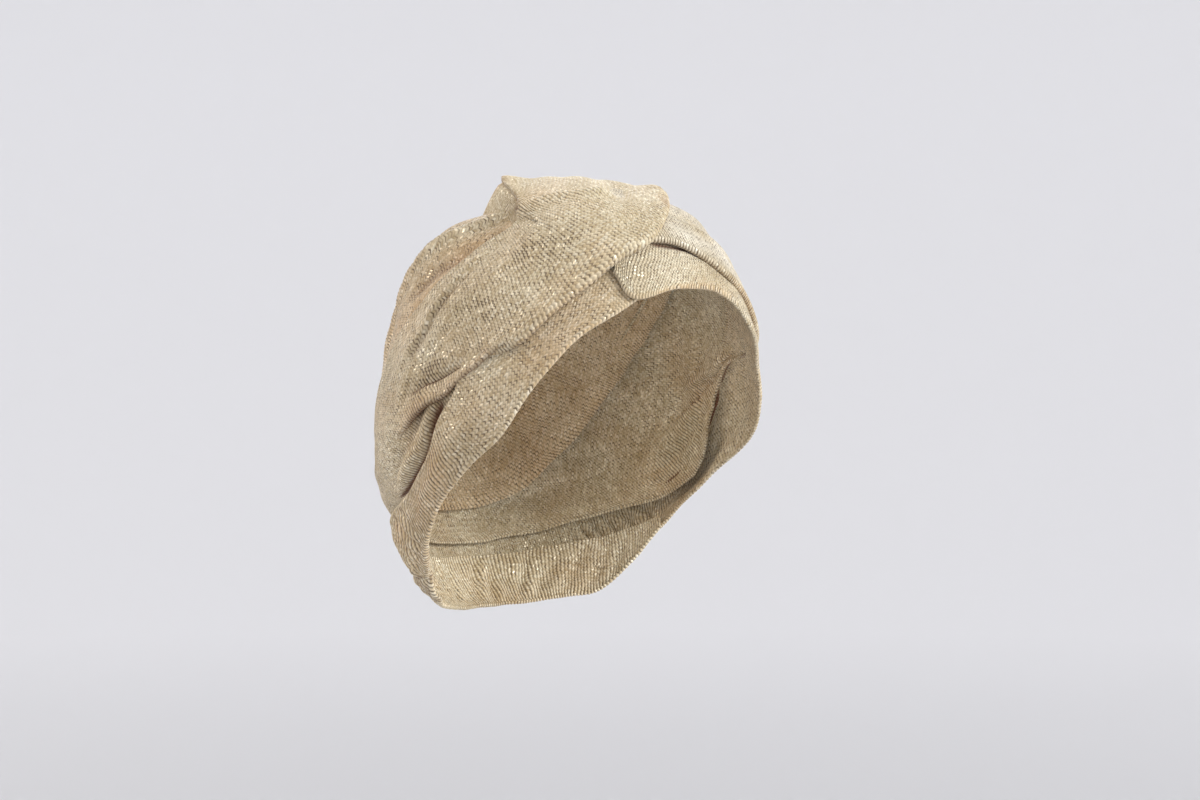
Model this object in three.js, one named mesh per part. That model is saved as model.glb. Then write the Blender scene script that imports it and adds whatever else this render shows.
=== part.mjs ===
// A wide knitted headband with a twisted knot at the front, standing as it stands on a head.
// Two loops of one soft knit hook through each other over the forehead. Each loop is worn as an
// upper wrap, a lower band along the hairline and a panel behind the ear, gathered at the nape.
// Millimetres, +Z up, the wearer faces -Y and the wearer's right is -X. The origin is the centre
// of the head that the band is worn on.
import * as THREE from "three";
import { mergeVertices } from "three/addons/utils/BufferGeometryUtils.js";

// driving dimensions
const HEAD_HALF_WIDTH = 78;
const HEAD_HALF_LENGTH = 97;
const CROWN_HEIGHT = 105;
const CLOTH = 2;
const EDGE_ROUNDING = 0.8;
const SEAM_GAP = 0.5;

const RIGHT = -1;
const LEFT = 1;

// The colour of the metallic knit.
const CHAMPAGNE = 0xc6b18a;

// A row is one station across a piece of cloth, and the rows run from the nape to the knot. A place
// on the head is a turn from the wearer's front and a rise above the head's centre, in degrees. Each
// row gives the turn and rise of the low edge and of the high edge, and then how far the middle of
// the cloth stands off the head, in mm, at the low edge, half-way and at the high edge.

// The upper wrap leaves the nape seam tucked under the lower band and comes out over it by the ear.
const UPPER_WRAP_SIDE = [
  [180, -34, 180, -21, 1.6, 6.2, 6.0],
  [151, -32, 162, -16, 1.6, 6.6, 6.6],
  [126, -28, 150, -7, 1.6, 6.8, 6.6],
  [103, -23, 140, 5, 1.6, 7.0, 6.6],
  [91, -11.5, 130, 18, 1.6, 7.0, 6.4],
  [87.6, 2.2, 121, 30, 1.8, 7.0, 6.4],
  [81.8, 12.2, 112, 39.5, 4.4, 7.0, 6.6],
  [73.5, 22.5, 101, 49, 4.4, 7.0, 6.8],
];

// On the right it climbs over everything else, and turns under in a fold at the top of the knot.
const RIGHT_UPPER_WRAP = [
  ...UPPER_WRAP_SIDE,
  [57, 26.5, 86.5, 57, 6, 7.4, 7.2],
  [39.5, 38.5, 72, 63, 8, 9.5, 8.5],
  [25, 45.5, 73, 68, 10, 11.8, 11],
  [13, 50, 91, 73, 10.8, 12, 11.5],
  [2, 58, 122, 73.5, 10.8, 11.4, 11.5],
  [-24, 69, 149, 71, 10.8, 10.8, 11.8],
  [-52, 78, 175, 70, 10.4, 10.4, 10],
];

// On the left it passes under the right wrap's fold and ends inside the knot.
const LEFT_UPPER_WRAP = [
  ...UPPER_WRAP_SIDE,
  [52, 24.5, 86.5, 57, 6, 7.6, 7.2],
  [33, 36.5, 76, 68, 7.2, 10, 7.5],
  [17, 43.5, 68, 76, 7.4, 8.8, 7.4],
  [-1.5, 52, 0, 82, 7.4, 7.6, 7.2],
  [-24, 51, -50, 72, 7.4, 7.4, 7.2],
];

// The lower band follows the hairline, over the upper wrap's edge behind the ear and under it above.
const LOWER_BAND_SIDE = [
  [180, -42, 180, -32, 4.9, 6.0, 5.3],
  [146, -42, 151, -30, 4.9, 6.0, 5.3],
  [121, -45, 130, -26, 4.9, 5.8, 5.3],
  [105.5, -33.5, 107, -19.5, 3.6, 5.4, 5.4],
  [92, -22.5, 93.5, -9.5, 1.8, 5.0, 5.4],
  [79, -12, 86.9, 1.6, 1.5, 3.8, 4.8],
  [66, -2.5, 80.9, 11.6, 1.5, 3.0, 2],
  [57, 8.5, 75.5, 24, 1.5, 2.2, 1.6],
  [47, 21, 64, 34, 1.5, 2, 1.6],
];

// On the right it lies against the head all the way in under the knot.
const RIGHT_LOWER_BAND = [
  ...LOWER_BAND_SIDE,
  [32.5, 31, 52, 45.5, 1.5, 1.8, 1.6],
  [21.5, 35.5, 37.5, 53, 1.5, 1.8, 1.6],
  [8, 37.5, 22, 57, 1.5, 1.8, 1.6],
];

// On the left it crosses the forehead over the right band, then turns up under the right wrap.
const LEFT_LOWER_BAND = [
  ...LOWER_BAND_SIDE,
  [28.5, 29, 51.5, 44.5, 2.6, 3.6, 3.6],
  [14, 36, 35, 50, 4.0, 4.6, 4.4],
  [-6, 36, 12.5, 52, 4.4, 4.7, 4.4],
  [-21.5, 35.5, -5, 55.5, 4.5, 4.7, 4.5],
  [-24, 44, -18, 60, 4.5, 4.5, 4.5],
];

// The back panel puffs out between the upper wrap's high edge and the rim of the open crown.
const BACK_PANEL = [
  [180, -24, 180, -9, 1.6, 4.0, 3.5],
  [159, -20.5, 173, -5, 1.6, 5.0, 3.5],
  [145.5, -10.5, 170, 2, 1.6, 6.5, 3.5],
  [133, 4, 166, 14, 1.6, 8.0, 4.0],
  [122, 18.5, 161, 32, 1.6, 9.0, 4.5],
  [110, 32, 155, 50, 1.6, 10.0, 6.0],
  [98, 42.5, 150, 61.5, 1.6, 9.5, 6.0],
  [83, 51.5, 147, 70, 1.6, 4.5, 4.0],
  [65, 60, 145, 77.5, 1.6, 3.0, 3.0],
];

// The left panel reaches further, because no wrap covers its end until it is under the knot.
const LEFT_BACK_PANEL = [
  ...BACK_PANEL,
  [42, 66, 90, 88, 1.6, 2.2, 2.2],
];

// The fold at the nape hangs below both lower bands, from behind one ear to behind the other.
const NAPE_FOLD = [
  [-115, -40, -117, -33, 1.6, 1.6, 1.6],
  [-126, -51, -128, -36, 2, 2.2, 1.6],
  [-151, -54, -151, -38, 2, 2.2, 1.6],
  [180, -54.5, 180, -38.5, 2, 2.2, 1.6],
  [151, -54, 151, -38, 2, 2.2, 1.6],
  [126, -51, 128, -36, 2, 2.2, 1.6],
  [115, -40, 117, -33, 1.6, 1.6, 1.6],
];

// A fold runs from one row to another, and fades out at both. Its place across the cloth is a share
// of the width where it starts and where it ends. Its height is in mm, below 0 for a hollow.
const WRAP_FOLDS = [
  // from row, to row, across at its start, across at its end, height, half width as a share
  [3.2, 8.2, 0.3, 0.1, 2.4, 0.09],
  [3.0, 8.0, 0.62, 0.5, 1.2, 0.1],
  [3.4, 8.6, 0.44, 0.32, -1.2, 0.08],
  [8.6, 12.4, 0.85, 0.62, 1.4, 0.12],
];
const BAND_FOLDS = [
  [1.2, 4.6, 0.7, 0.45, -1.2, 0.12],
  [4.4, 7.4, 0.75, 0.4, -0.9, 0.1],
];
const PANEL_FOLDS = [
  [2.0, 6.8, 0.7, 0.35, 1.6, 0.12],
  [1.6, 5.6, 0.45, 0.6, -1.2, 0.1],
];
const NAPE_FOLDS = [
  [0.4, 5.6, 0.62, 0.62, -1.0, 0.12],
];

function toward(turn, rise, side) {
  const azimuth = THREE.MathUtils.degToRad(turn);
  const level = Math.cos(THREE.MathUtils.degToRad(rise));
  const z = Math.sin(THREE.MathUtils.degToRad(rise));
  return new THREE.Vector3(side * level * Math.sin(azimuth), -level * Math.cos(azimuth), z);
}

function headRadius(direction) {
  const x = direction.x / HEAD_HALF_WIDTH;
  const y = direction.y / HEAD_HALF_LENGTH;
  const z = direction.z / CROWN_HEIGHT;
  return 1 / Math.hypot(x, y, z);
}

// A curve through one value of every row, which passes each row at an even step of its length.
function through(points) {
  return new THREE.CatmullRomCurve3(points, false, "catmullrom");
}

// The cloth lies flat along both edges and rises to its middle lift between them.
function liftAcross(lifts, across) {
  const edges = THREE.MathUtils.lerp(lifts.x, lifts.z, across);
  const rise = lifts.y - (lifts.x + lifts.z) / 2;
  return edges + rise * Math.sin(Math.PI * across) ** 2;
}

function foldHeight(folds, row, across) {
  let height = 0;
  for (const [fromRow, toRow, acrossFrom, acrossTo, rise, halfWidth] of folds) {
    const travelled = THREE.MathUtils.clamp((row - fromRow) / (toRow - fromRow), 0, 1);
    const fade = Math.sin(Math.PI * travelled) ** 0.7;
    const centre = THREE.MathUtils.lerp(acrossFrom, acrossTo, travelled);
    height += rise * fade * Math.exp(-(((across - centre) / halfWidth) ** 2));
  }
  return height;
}

// A piece of cloth is a thin slab laid over the head. Its length runs through the rows, its width
// from the low edge to the high edge and its thickness out from the head, with both edges rounded.
function cloth(name, side, rows, folds, stepsAlong, stepsAcross) {
  const lowEdge = through(rows.map(([turn, rise]) => toward(turn, rise, side)));
  const highEdge = through(rows.map(([, , turn, rise]) => toward(turn, rise, side)));
  const lift = through(rows.map((row) => new THREE.Vector3(...row.slice(4))));
  const slab = new THREE.BoxGeometry(1, 1, 1, stepsAlong, stepsAcross, 2);
  slab.deleteAttribute("normal");
  slab.deleteAttribute("uv");
  const shape = mergeVertices(slab, 1e-5);
  const position = shape.getAttribute("position");
  for (let i = 0; i < position.count; i += 1) {
    const along = position.getX(i) + 0.5;
    const across = position.getY(i) + 0.5;
    const depth = position.getZ(i);
    const low = lowEdge.getPoint(along);
    const high = highEdge.getPoint(along);
    const width = low.angleTo(high) * HEAD_HALF_LENGTH;
    const nose = Math.abs(depth) < 0.25 ? EDGE_ROUNDING / width : 0;
    const reach = across === 0 ? -nose : across === 1 ? 1 + nose : across;
    const direction = new THREE.Vector3().lerpVectors(low, high, reach).normalize();
    const fold = foldHeight(folds, along * (rows.length - 1), across);
    const off = liftAcross(lift.getPoint(along), across) + fold + depth * CLOTH;
    direction.multiplyScalar(headRadius(direction) + off);
    position.setXYZ(i, direction.x + (side * SEAM_GAP) / 2, direction.y, direction.z);
  }
  if (side === LEFT) {
    turnInsideOut(shape);
  }
  shape.computeVertexNormals();
  const knit = new THREE.MeshStandardMaterial({ color: CHAMPAGNE, roughness: 0.6, metalness: 0.15 });
  const piece = new THREE.Mesh(shape, knit);
  piece.name = name;
  return piece;
}

function turnInsideOut(shape) {
  const index = shape.getIndex();
  for (let i = 0; i < index.count; i += 3) {
    const second = index.getX(i + 1);
    index.setX(i + 1, index.getX(i + 2));
    index.setX(i + 2, second);
  }
}

const headband = new THREE.Group();
headband.name = "knitted_headband";

headband.add(
  cloth("right_upper_wrap", RIGHT, RIGHT_UPPER_WRAP, WRAP_FOLDS, 42, 10),
  cloth("right_lower_band", RIGHT, RIGHT_LOWER_BAND, BAND_FOLDS, 34, 7),
  cloth("right_back_panel", RIGHT, BACK_PANEL, PANEL_FOLDS, 28, 7),
  cloth("left_upper_wrap", LEFT, LEFT_UPPER_WRAP, WRAP_FOLDS.slice(0, 3), 36, 9),
  cloth("left_lower_band", LEFT, LEFT_LOWER_BAND, BAND_FOLDS, 38, 7),
  cloth("left_back_panel", LEFT, LEFT_BACK_PANEL, PANEL_FOLDS, 28, 7),
  cloth("nape_fold", RIGHT, NAPE_FOLD, NAPE_FOLDS, 24, 5),
);

export default headband;
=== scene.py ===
import math
import random
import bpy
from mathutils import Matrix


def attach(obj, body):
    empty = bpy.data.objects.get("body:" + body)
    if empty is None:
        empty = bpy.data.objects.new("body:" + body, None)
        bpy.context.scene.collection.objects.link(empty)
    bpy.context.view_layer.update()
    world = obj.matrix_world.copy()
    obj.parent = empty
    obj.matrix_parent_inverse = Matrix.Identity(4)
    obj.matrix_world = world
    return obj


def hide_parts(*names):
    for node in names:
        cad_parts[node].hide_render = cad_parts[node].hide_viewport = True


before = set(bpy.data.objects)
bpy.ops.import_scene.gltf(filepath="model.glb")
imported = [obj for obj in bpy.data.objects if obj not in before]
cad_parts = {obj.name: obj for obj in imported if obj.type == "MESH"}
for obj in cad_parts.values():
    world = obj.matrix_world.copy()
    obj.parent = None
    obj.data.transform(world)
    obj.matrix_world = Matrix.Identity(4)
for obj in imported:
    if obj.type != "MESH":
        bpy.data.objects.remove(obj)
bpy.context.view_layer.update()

from types import SimpleNamespace

import bmesh
import bpy
import numpy as np
from mathutils import Vector

# ---------------------------------------------------------------------------------------------
# The right upper wrap. It is the wide upper leg of the right-hand loop: a fine jersey knitted from
# champagne metallic yarn and worn doubled, so both of its edges are soft folds. It starts at the
# nape, rolls over a tuck by the ear and climbs over the whole knot to a fold on top of the head.

RIGHT, LEFT = -1, 1
HEAD = np.array((78.0, 97.0, 105.0))     # half width, half length and crown height of the head, mm
DOUBLED_CLOTH = 1.4                      # mm, two layers of jersey
COURSE = 1.6                             # mm from one row of stitches to the next, unstretched
WALE = 1.7                               # mm from one column of stitches to the next
STATIONS_A_COURSE = 4                    # rings of mesh to each row of stitches
RIB_RISE = 0.17                          # mm that a row of stitches stands above its groove
TUCK_TURN = 1.2                          # mm of cloth that turns back on itself at each bend of a tuck
LIP_STEPS = 8                            # columns of mesh round a rolled edge
RIM_STEPS = 3                            # points round the folded rim itself
EDGE_SWAY = 0.4                          # mm that the edges wander from a clean line
ROW_WANDER = 0.55                        # mm that a row of stitches wanders from straight
LENGTH_LINE = 0.4                        # a cloth's length is measured on the head form, at this share
                                         # of the way from its low edge to its high one
LENGTH_STEPS = 900                       # steps in which that length is measured
WIDTH_STEPS = 500                        # steps across a flat cloth when its columns are spread
SHARP_FOLD = 2                           # mm, a fold narrower than this has more columns of mesh
TUCK_COLUMNS, FOLD_COLUMNS = 2.4, 3.0    # how many more columns a tuck or a sharp fold has, as a share
TUCK_REACH = 2.4                         # mm on each side of a tuck that have more columns too
FADE = 0.8                               # rows in which a fold or tuck comes and goes, unless it says
PLAIN_RIB = 0.25                         # how strong the rows of stitches are on plain cloth, 0 to 1
FLATTEST_ROW = 0.35                      # the share of its rise that the weakest row keeps
WELD = 0.000004                          # m, points closer than this become one
MM = 0.001

# Each row is a station from the nape to the knot: the turn from the wearer's front and the rise
# above the head's centre, in degrees, of the low edge and of the high edge, and how far the cloth
# stands off the head at its low edge, middle and high edge, in mm.
UPPER_WRAP_SIDE = [
    (180, -34, 180, -21, 1.6, 6.2, 6.0),
    (151, -32, 162, -16, 1.6, 6.6, 6.4),
    (126, -28, 150, -7, 1.6, 6.8, 6.2),
    (103, -23, 140, 5, 1.6, 6.6, 6.0),
    (91, -11.5, 130, 18, 1.6, 7.0, 5.8),
    (87.6, 2.2, 121, 30, 1.8, 7.3, 5.8),
    (81.8, 12.2, 112, 39.5, 2.0, 6.2, 5.8),
    (72.0, 21.2, 101, 49, 2.6, 7.0, 6.2),
]
RIGHT_UPPER_WRAP = UPPER_WRAP_SIDE + [
    (57, 26.5, 86.5, 57, 6.6, 7.6, 6.8),
    (39.5, 38.5, 72.5, 62, 8.2, 9.5, 8.5),
    (25, 45.5, 76, 65.5, 10, 11.8, 10.5),
    (13, 50, 90, 69.5, 10.8, 11.6, 11.5),
    (-1, 57.5, 115, 72, 10.8, 10.6, 12.0),
    (-28, 68, 140, 72, 10.8, 9.2, 12.0),
    (-52, 78, 170, 70, 8.0, 5.2, 6.5),
]


def toward(turn, rise, side):
    """The direction from the head's centre at a turn and a rise, in degrees."""
    turn, rise = math.radians(turn), math.radians(rise)
    return (side * math.cos(rise) * math.sin(turn), -math.cos(rise) * math.cos(turn), math.sin(rise))


def through_rows(values, spots, before=None):
    """A smooth curve through one value a row, read at spots counted in rows."""
    first = 2 * values[0] - values[1] if before is None else before
    ends = np.vstack([first, values, 2 * values[-1] - values[-2]])
    row = np.clip(np.floor(spots).astype(int), 0, len(values) - 2)
    way = (spots - row)[:, None]
    a, b, c, d = (ends[row + k] for k in range(4))
    return b + 0.5 * way * ((c - a) + way * ((2 * a - 5 * b + 4 * c - d) + way * (3 * b - a - 3 * c + d)))


def ease(x):
    """From 0 to 1 with a soft start and a soft end."""
    x = np.clip(x, 0, 1)
    return x * x * (3 - 2 * x)


def bell(x):
    """1 in the middle, dying away on both sides."""
    return np.exp(-x ** 2)


def unit(v):
    return v / np.linalg.norm(v, axis=-1, keepdims=True)


def follow(path, spots, fade):
    """Where a line drawn on the cloth lies at each station, as a share of the way across, and how
    strongly it shows there: it fades in and out over a number of rows."""
    rows, shares = zip(*path)
    strength = ease((spots - rows[0]) / fade) * ease((rows[-1] - spots) / fade)
    share = sum(np.interp(spots + shift, rows, shares) for shift in np.linspace(-0.3, 0.3, 7)) / 7
    return share[:, None], strength[:, None]


def slow_waves(seed, count, along, across):
    """A gentle unevenness: waves whose lengths, in mm, lie in the two ranges given."""
    draw = random.Random(seed)
    waves = [(draw.uniform(*along), draw.uniform(*across), draw.uniform(0, math.tau), draw.choice((-1, 1)))
             for _ in range(count)]

    def height(u, v):
        total = 0
        for length, width, start, lean in waves:
            total = total + np.sin(math.tau * (u / length + lean * v / width) + start)
        return total / math.sqrt(count)
    return height


def place(stood, share, height):
    """Points at a share of the way from the low edge to the high one, and a height off the head."""
    a, b, angle, _ = stood
    way = (np.sin((1 - share) * angle)[..., None] * a[:, None]
           + np.sin(share * angle)[..., None] * b[:, None]) / np.sin(angle)[..., None]
    way = unit(way)
    return way * (1 / np.linalg.norm(way / HEAD, axis=-1) + height)[..., None]


def spread_stations(rows, side, from_nape, stretch, lips):
    """Reads a cloth's rows at stations that are evenly spaced within each row of stitches. A station
    has its spot, counted in rows of the table, its count of rows of stitches, and u, mm along."""
    low = np.array([toward(r[0], r[1], side) for r in rows])
    high = np.array([toward(r[2], r[3], side) for r in rows])
    lifts = np.array([r[4:7] for r in rows], float)
    start = (None, None, None)
    if from_nape:
        mirrored = np.array((-1.0, 1.0, 1.0))
        start = (low[1] * mirrored, high[1] * mirrored, lifts[1])

    def stand(spots):
        a = unit(through_rows(low, spots, start[0]))
        b = unit(through_rows(high, spots, start[1]))
        angle = np.arccos(np.clip((a * b).sum(-1), -1, 1))[:, None]
        return a, b, angle, through_rows(lifts, spots, start[2])

    fine = np.linspace(0, len(rows) - 1, LENGTH_STEPS)
    on_head = np.zeros((len(fine), 1))
    middle = place(stand(fine), on_head + LENGTH_LINE, on_head)[:, 0]
    run = np.concatenate([[0], np.cumsum(np.linalg.norm(np.diff(middle, axis=0), axis=1))])
    course_mm = COURSE * np.interp(fine, *zip(*stretch))
    courses = np.concatenate([[0], np.cumsum(np.diff(run) / course_mm[1:])])
    stations = STATIONS_A_COURSE * round(courses[-1]) + 1
    count = np.linspace(0, courses[-1], stations)
    spots = np.interp(count, courses, fine)
    stood = stand(spots)
    mean_lift = stood[3].mean(1, keepdims=True)
    across = np.linspace(0.1, 0.9, 9)[None] * np.ones((stations, 1))
    width = stood[2] * np.linalg.norm(place(stood, across, mean_lift), axis=-1).mean(1, keepdims=True)

    names = ("low_r", "low_turn", "low_tail", "high_r", "high_turn", "high_tail")
    edge = {name: np.interp(spots, [x[0] for x in lips], [x[k + 1] for x in lips])[:, None]
            for k, name in enumerate(names)}
    edge["low_turn"], edge["high_turn"] = np.radians(edge["low_turn"]), np.radians(edge["high_turn"])
    return SimpleNamespace(
        spots=spots, count=count[:, None], u=np.interp(count, courses, run)[:, None],
        course_mm=np.interp(spots, fine, course_mm)[:, None], stood=stood, lift=stood[3],
        width=width, edge=edge, from_nape=from_nape)


def lay_tucks(cloth, tucks):
    """Lays the tucks from the low side up. Each takes up twice its depth of cloth."""
    laid = []
    taken = np.zeros_like(cloth.width)
    for tuck in sorted(tucks, key=lambda t: np.mean([s for _, s in t["path"]])):
        centre, strength = follow(tuck["path"], cloth.spots, tuck.get("fade", FADE))
        depth = tuck["depth"] * strength
        lip_at = centre * cloth.width
        start = np.maximum(lip_at - cloth.edge["low_r"], TUCK_TURN - depth) + taken
        if tuck.get("top", "high") == "high":
            start = start + depth
        laid.append((tuck, start, depth, strength, lip_at))
        taken = taken + 2 * depth
    cloth.tucks = laid
    cloth.flat = cloth.width - cloth.edge["low_r"] - cloth.edge["high_r"] + taken


def spread_columns(cloth, columns, folds):
    """Where the columns of mesh lie, in mm across the flat cloth: they gather at tucks and folds."""
    dense = np.linspace(0, 1, WIDTH_STEPS)[None] * cloth.flat
    weight = np.ones_like(dense)
    for _, start, depth, strength, _ in cloth.tucks:
        off = dense - start - depth / 2
        weight += TUCK_COLUMNS * strength * bell(off / (depth / 2 + TUCK_REACH))
    for fold in folds:
        sharpest = min(fold["wide"])
        if sharpest < SHARP_FOLD:
            centre, strength = follow(fold["path"], cloth.spots, fold.get("fade", FADE))
            fold_at = centre * cloth.width
            under = sum((2 * depth * (lip_at < fold_at) for _, _, depth, _, lip_at in cloth.tucks), 0)
            off = dense - (fold_at - cloth.edge["low_r"] + under)
            weight += FOLD_COLUMNS * strength * bell(off / (2 * sharpest))
    total = np.cumsum(weight, axis=1)
    total = (total - total[:, :1]) / (total[:, -1:] - total[:, :1])
    steps = np.linspace(0, 1, columns - 2 * LIP_STEPS)
    return np.array([np.interp(steps, total[k], dense[k]) for k in range(len(dense))])


def spread_patch(cloth, patch, y):
    """How much a patch adds at each point: a soft round spot, sized in mm."""
    row, across = patch["at"]
    du = (cloth.u - np.interp(row, cloth.spots, cloth.u[:, 0])) / patch["size"][0]
    dv = (y - across * cloth.width) / patch["size"][1]
    return patch["amount"] * np.exp(-(du ** 2 + dv ** 2))


def fold_tucks(cloth, f, tint_and_painted_light):
    """Turns the flat cloth back on itself at its tucks. Gives y, mm across the worn cloth, h, mm that
    the tucks raise it, and the marks that its material reads."""
    y = f + cloth.edge["low_r"]
    h = np.zeros_like(f)
    marks = {"rib": np.zeros_like(f), "painted_shade": np.zeros_like(f), "tint_and_painted_light": np.full_like(f, tint_and_painted_light)}
    for tuck, start, depth, strength, lip_at in cloth.tucks:
        y = y - 2 * depth * ease((f - start + TUCK_TURN) / (depth + 2 * TUCK_TURN))
        over = ease((f - start) / (depth + 1.6))
        if tuck.get("top", "high") == "high":
            lying = over * bell(np.clip(f - start - depth, 0, None) / tuck["reach"])
        else:
            lying = (1 - over) * bell(np.clip(start - f, 0, None) / tuck["reach"])
        h = h + tuck["rise"] * strength * lying
        # painted shade: the cloth hidden inside a tuck is darkened, as little light reaches it
        inside = bell((f - start - depth / 2) / (0.5 * depth + 1))
        marks["painted_shade"] += tuck.get("shade", 0.9) * strength * inside
        marks["rib"] += tuck.get("rib", 0.8) * strength * bell((y - lip_at) / 9)
        marks["tint_and_painted_light"] += tuck.get("tint_and_painted_light", 0) * strength * bell((y - lip_at - 4) / 5)
    return y, h, marks


def raise_folds(cloth, f, y, h, marks, folds, gathers, patches, ripple, seed):
    """Lifts the cloth off the head, with its folds, its raised patches and its gathers."""
    share = y / cloth.width
    low, middle, high = cloth.lift[:, 0:1], cloth.lift[:, 1:2], cloth.lift[:, 2:3]
    straight = low * (1 - share) + high * share
    h = h + (straight + (middle - (low + high) / 2) * np.sin(math.pi * np.clip(share, 0, 1)) ** 2)
    for fold in folds:
        centre, strength = follow(fold["path"], cloth.spots, fold.get("fade", FADE))
        off = y - centre * cloth.width
        shape = bell(np.where(off < 0, off / fold["wide"][0], off / fold["wide"][1]))
        h = h + fold["rise"] * strength * shape
        marks["rib"] += fold.get("rib", 0.25) * abs(fold["rise"]) * strength * shape
        # painted shade along the fold's line, as wide as its dark
        marks["painted_shade"] += fold.get("shade", 0) * strength * bell(off / fold.get("dark", 1.5))
    for patch in patches:
        if patch["kind"] == "raise":
            h = h + spread_patch(cloth, patch, y)
    away_from_edges = ease(np.minimum(share, 1 - share) * 4)
    long_waves = slow_waves(seed, 7, (70, 190), (9, 30))
    h = h + ripple * away_from_edges * long_waves(cloth.u, f)
    for gather in gathers:
        first, last = gather["rows"]
        _, strength = follow([(first, 0), (last, 0)], cloth.spots, 0.5)
        wave = np.sin(math.tau * (cloth.u + gather["slant"] * y) / gather["length"])
        h = h + gather["rise"] * strength * wave * away_from_edges
        marks["rib"] += 0.3 * strength
        # painted shade in the troughs of the gather
        marks["painted_shade"] += gather["shade"] * strength * np.clip(-wave, 0, 1) ** 3
    return h


def roll(at_h, radius, turn, tail):
    """A rolled edge, from its tip to the cloth: an arc down to the side, and then a straight tail."""
    reach = radius * turn + tail
    went = np.linspace(1, 0, LIP_STEPS, endpoint=False)[None] * reach
    angle = np.minimum(went / radius, turn)
    past = np.maximum(went - radius * turn, 0)
    out = radius * np.sin(angle) + past * np.cos(turn)
    down = radius * (1 - np.cos(angle)) + past * np.sin(turn)
    return out, at_h - down, went, reach


def roll_edges(cloth, f, y, h, marks, seed):
    """Adds the rolled edges and lets them sway. v is mm across the flat cloth, rolls and all."""
    edge = cloth.edge
    out, low_h, went, low_reach = roll(h[:, :1], edge["low_r"], edge["low_turn"], edge["low_tail"])
    low_y, low_v = y[:, :1] - out, low_reach - went
    out, high_h, went, high_reach = roll(h[:, -1:], edge["high_r"], edge["high_turn"], edge["high_tail"])
    high_y, high_v = y[:, -1:] + out[:, ::-1], went[:, ::-1] + low_reach + cloth.flat
    y = np.hstack([low_y, y, high_y])
    h = np.hstack([low_h, h, high_h[:, ::-1]])
    v = np.hstack([low_v, f + low_reach, high_v])
    for kind in ("rib", "tint_and_painted_light"):
        mark = marks[kind]
        marks[kind] = np.hstack([np.repeat(mark[:, :1], LIP_STEPS, 1), mark,
                                 np.repeat(mark[:, -1:], LIP_STEPS, 1)])

    # painted shade: an edge that turns under by more than a right angle is darkened inside its roll, where
    # little light reaches
    rolled = np.linspace(1, 0, LIP_STEPS, endpoint=False)[None] ** 2
    turned_in = {name: ease((edge[name] - 1.6) / 1.2) for name in ("low_turn", "high_turn")}
    marks["painted_shade"] = np.hstack([rolled * turned_in["low_turn"], marks["painted_shade"],
                               rolled[:, ::-1] * turned_in["high_turn"]])
    cloth.low_reach, cloth.high_reach = low_reach, high_reach

    edge_waves = slow_waves(seed + 50, 4, (17, 48), (400, 900))
    u, width = cloth.u, cloth.width
    sway = EDGE_SWAY * (edge_waves(u, 0) * (1 - y / width) + edge_waves(u + 200, 0) * y / width)
    if cloth.from_nape:
        sway = sway * ease(u / 20)
    return y + sway, h, v


def outward(surface, from_nape):
    """The outward and the sideways direction at each point of the cloth."""
    across = np.gradient(surface, axis=1)
    out = unit(np.cross(np.gradient(surface, axis=0), across))
    middle_column = surface.shape[1] // 2
    if (out[:, middle_column] * surface[:, middle_column]).sum() < 0:
        out = -out
    if from_nape:
        out[0, :, 0] = 0
        out = unit(out)
    return out, unit(across)


def knit_rows(cloth, y, v, marks, patches, edge_ribs, seed):
    """Knits the rows of stitches, which wander a little and stand up most on rolled edges and tucks.
    Gives the count of rows at each point and how far the cloth's faces stand out there, in mm."""
    wander = slow_waves(seed + 90, 9, (14, 60), (9, 50))
    settled = ease(cloth.u / 12) if cloth.from_nape else 1
    stitch_u = cloth.count + ROW_WANDER * wander(cloth.u, v) * settled / cloth.course_mm
    near_low = bell(v / (cloth.low_reach + 3))
    near_high = bell((v[:, -1:] - v) / (cloth.high_reach + 2.5))
    marks["rib"] = PLAIN_RIB + marks["rib"] + edge_ribs * near_low + 0.3 * near_high
    marks["loose"] = np.zeros_like(v)
    for patch in patches:
        if patch["kind"] != "raise":
            marks[patch["kind"]] = marks[patch["kind"]] + spread_patch(cloth, patch, y)
    marks["rib"], marks["painted_shade"] = np.clip(marks["rib"], 0, 1), np.clip(marks["painted_shade"], 0, 1)
    strength = FLATTEST_ROW + (1 - FLATTEST_ROW) * marks["rib"]
    return stitch_u, RIB_RISE * strength * np.cos(math.tau * stitch_u)


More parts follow.
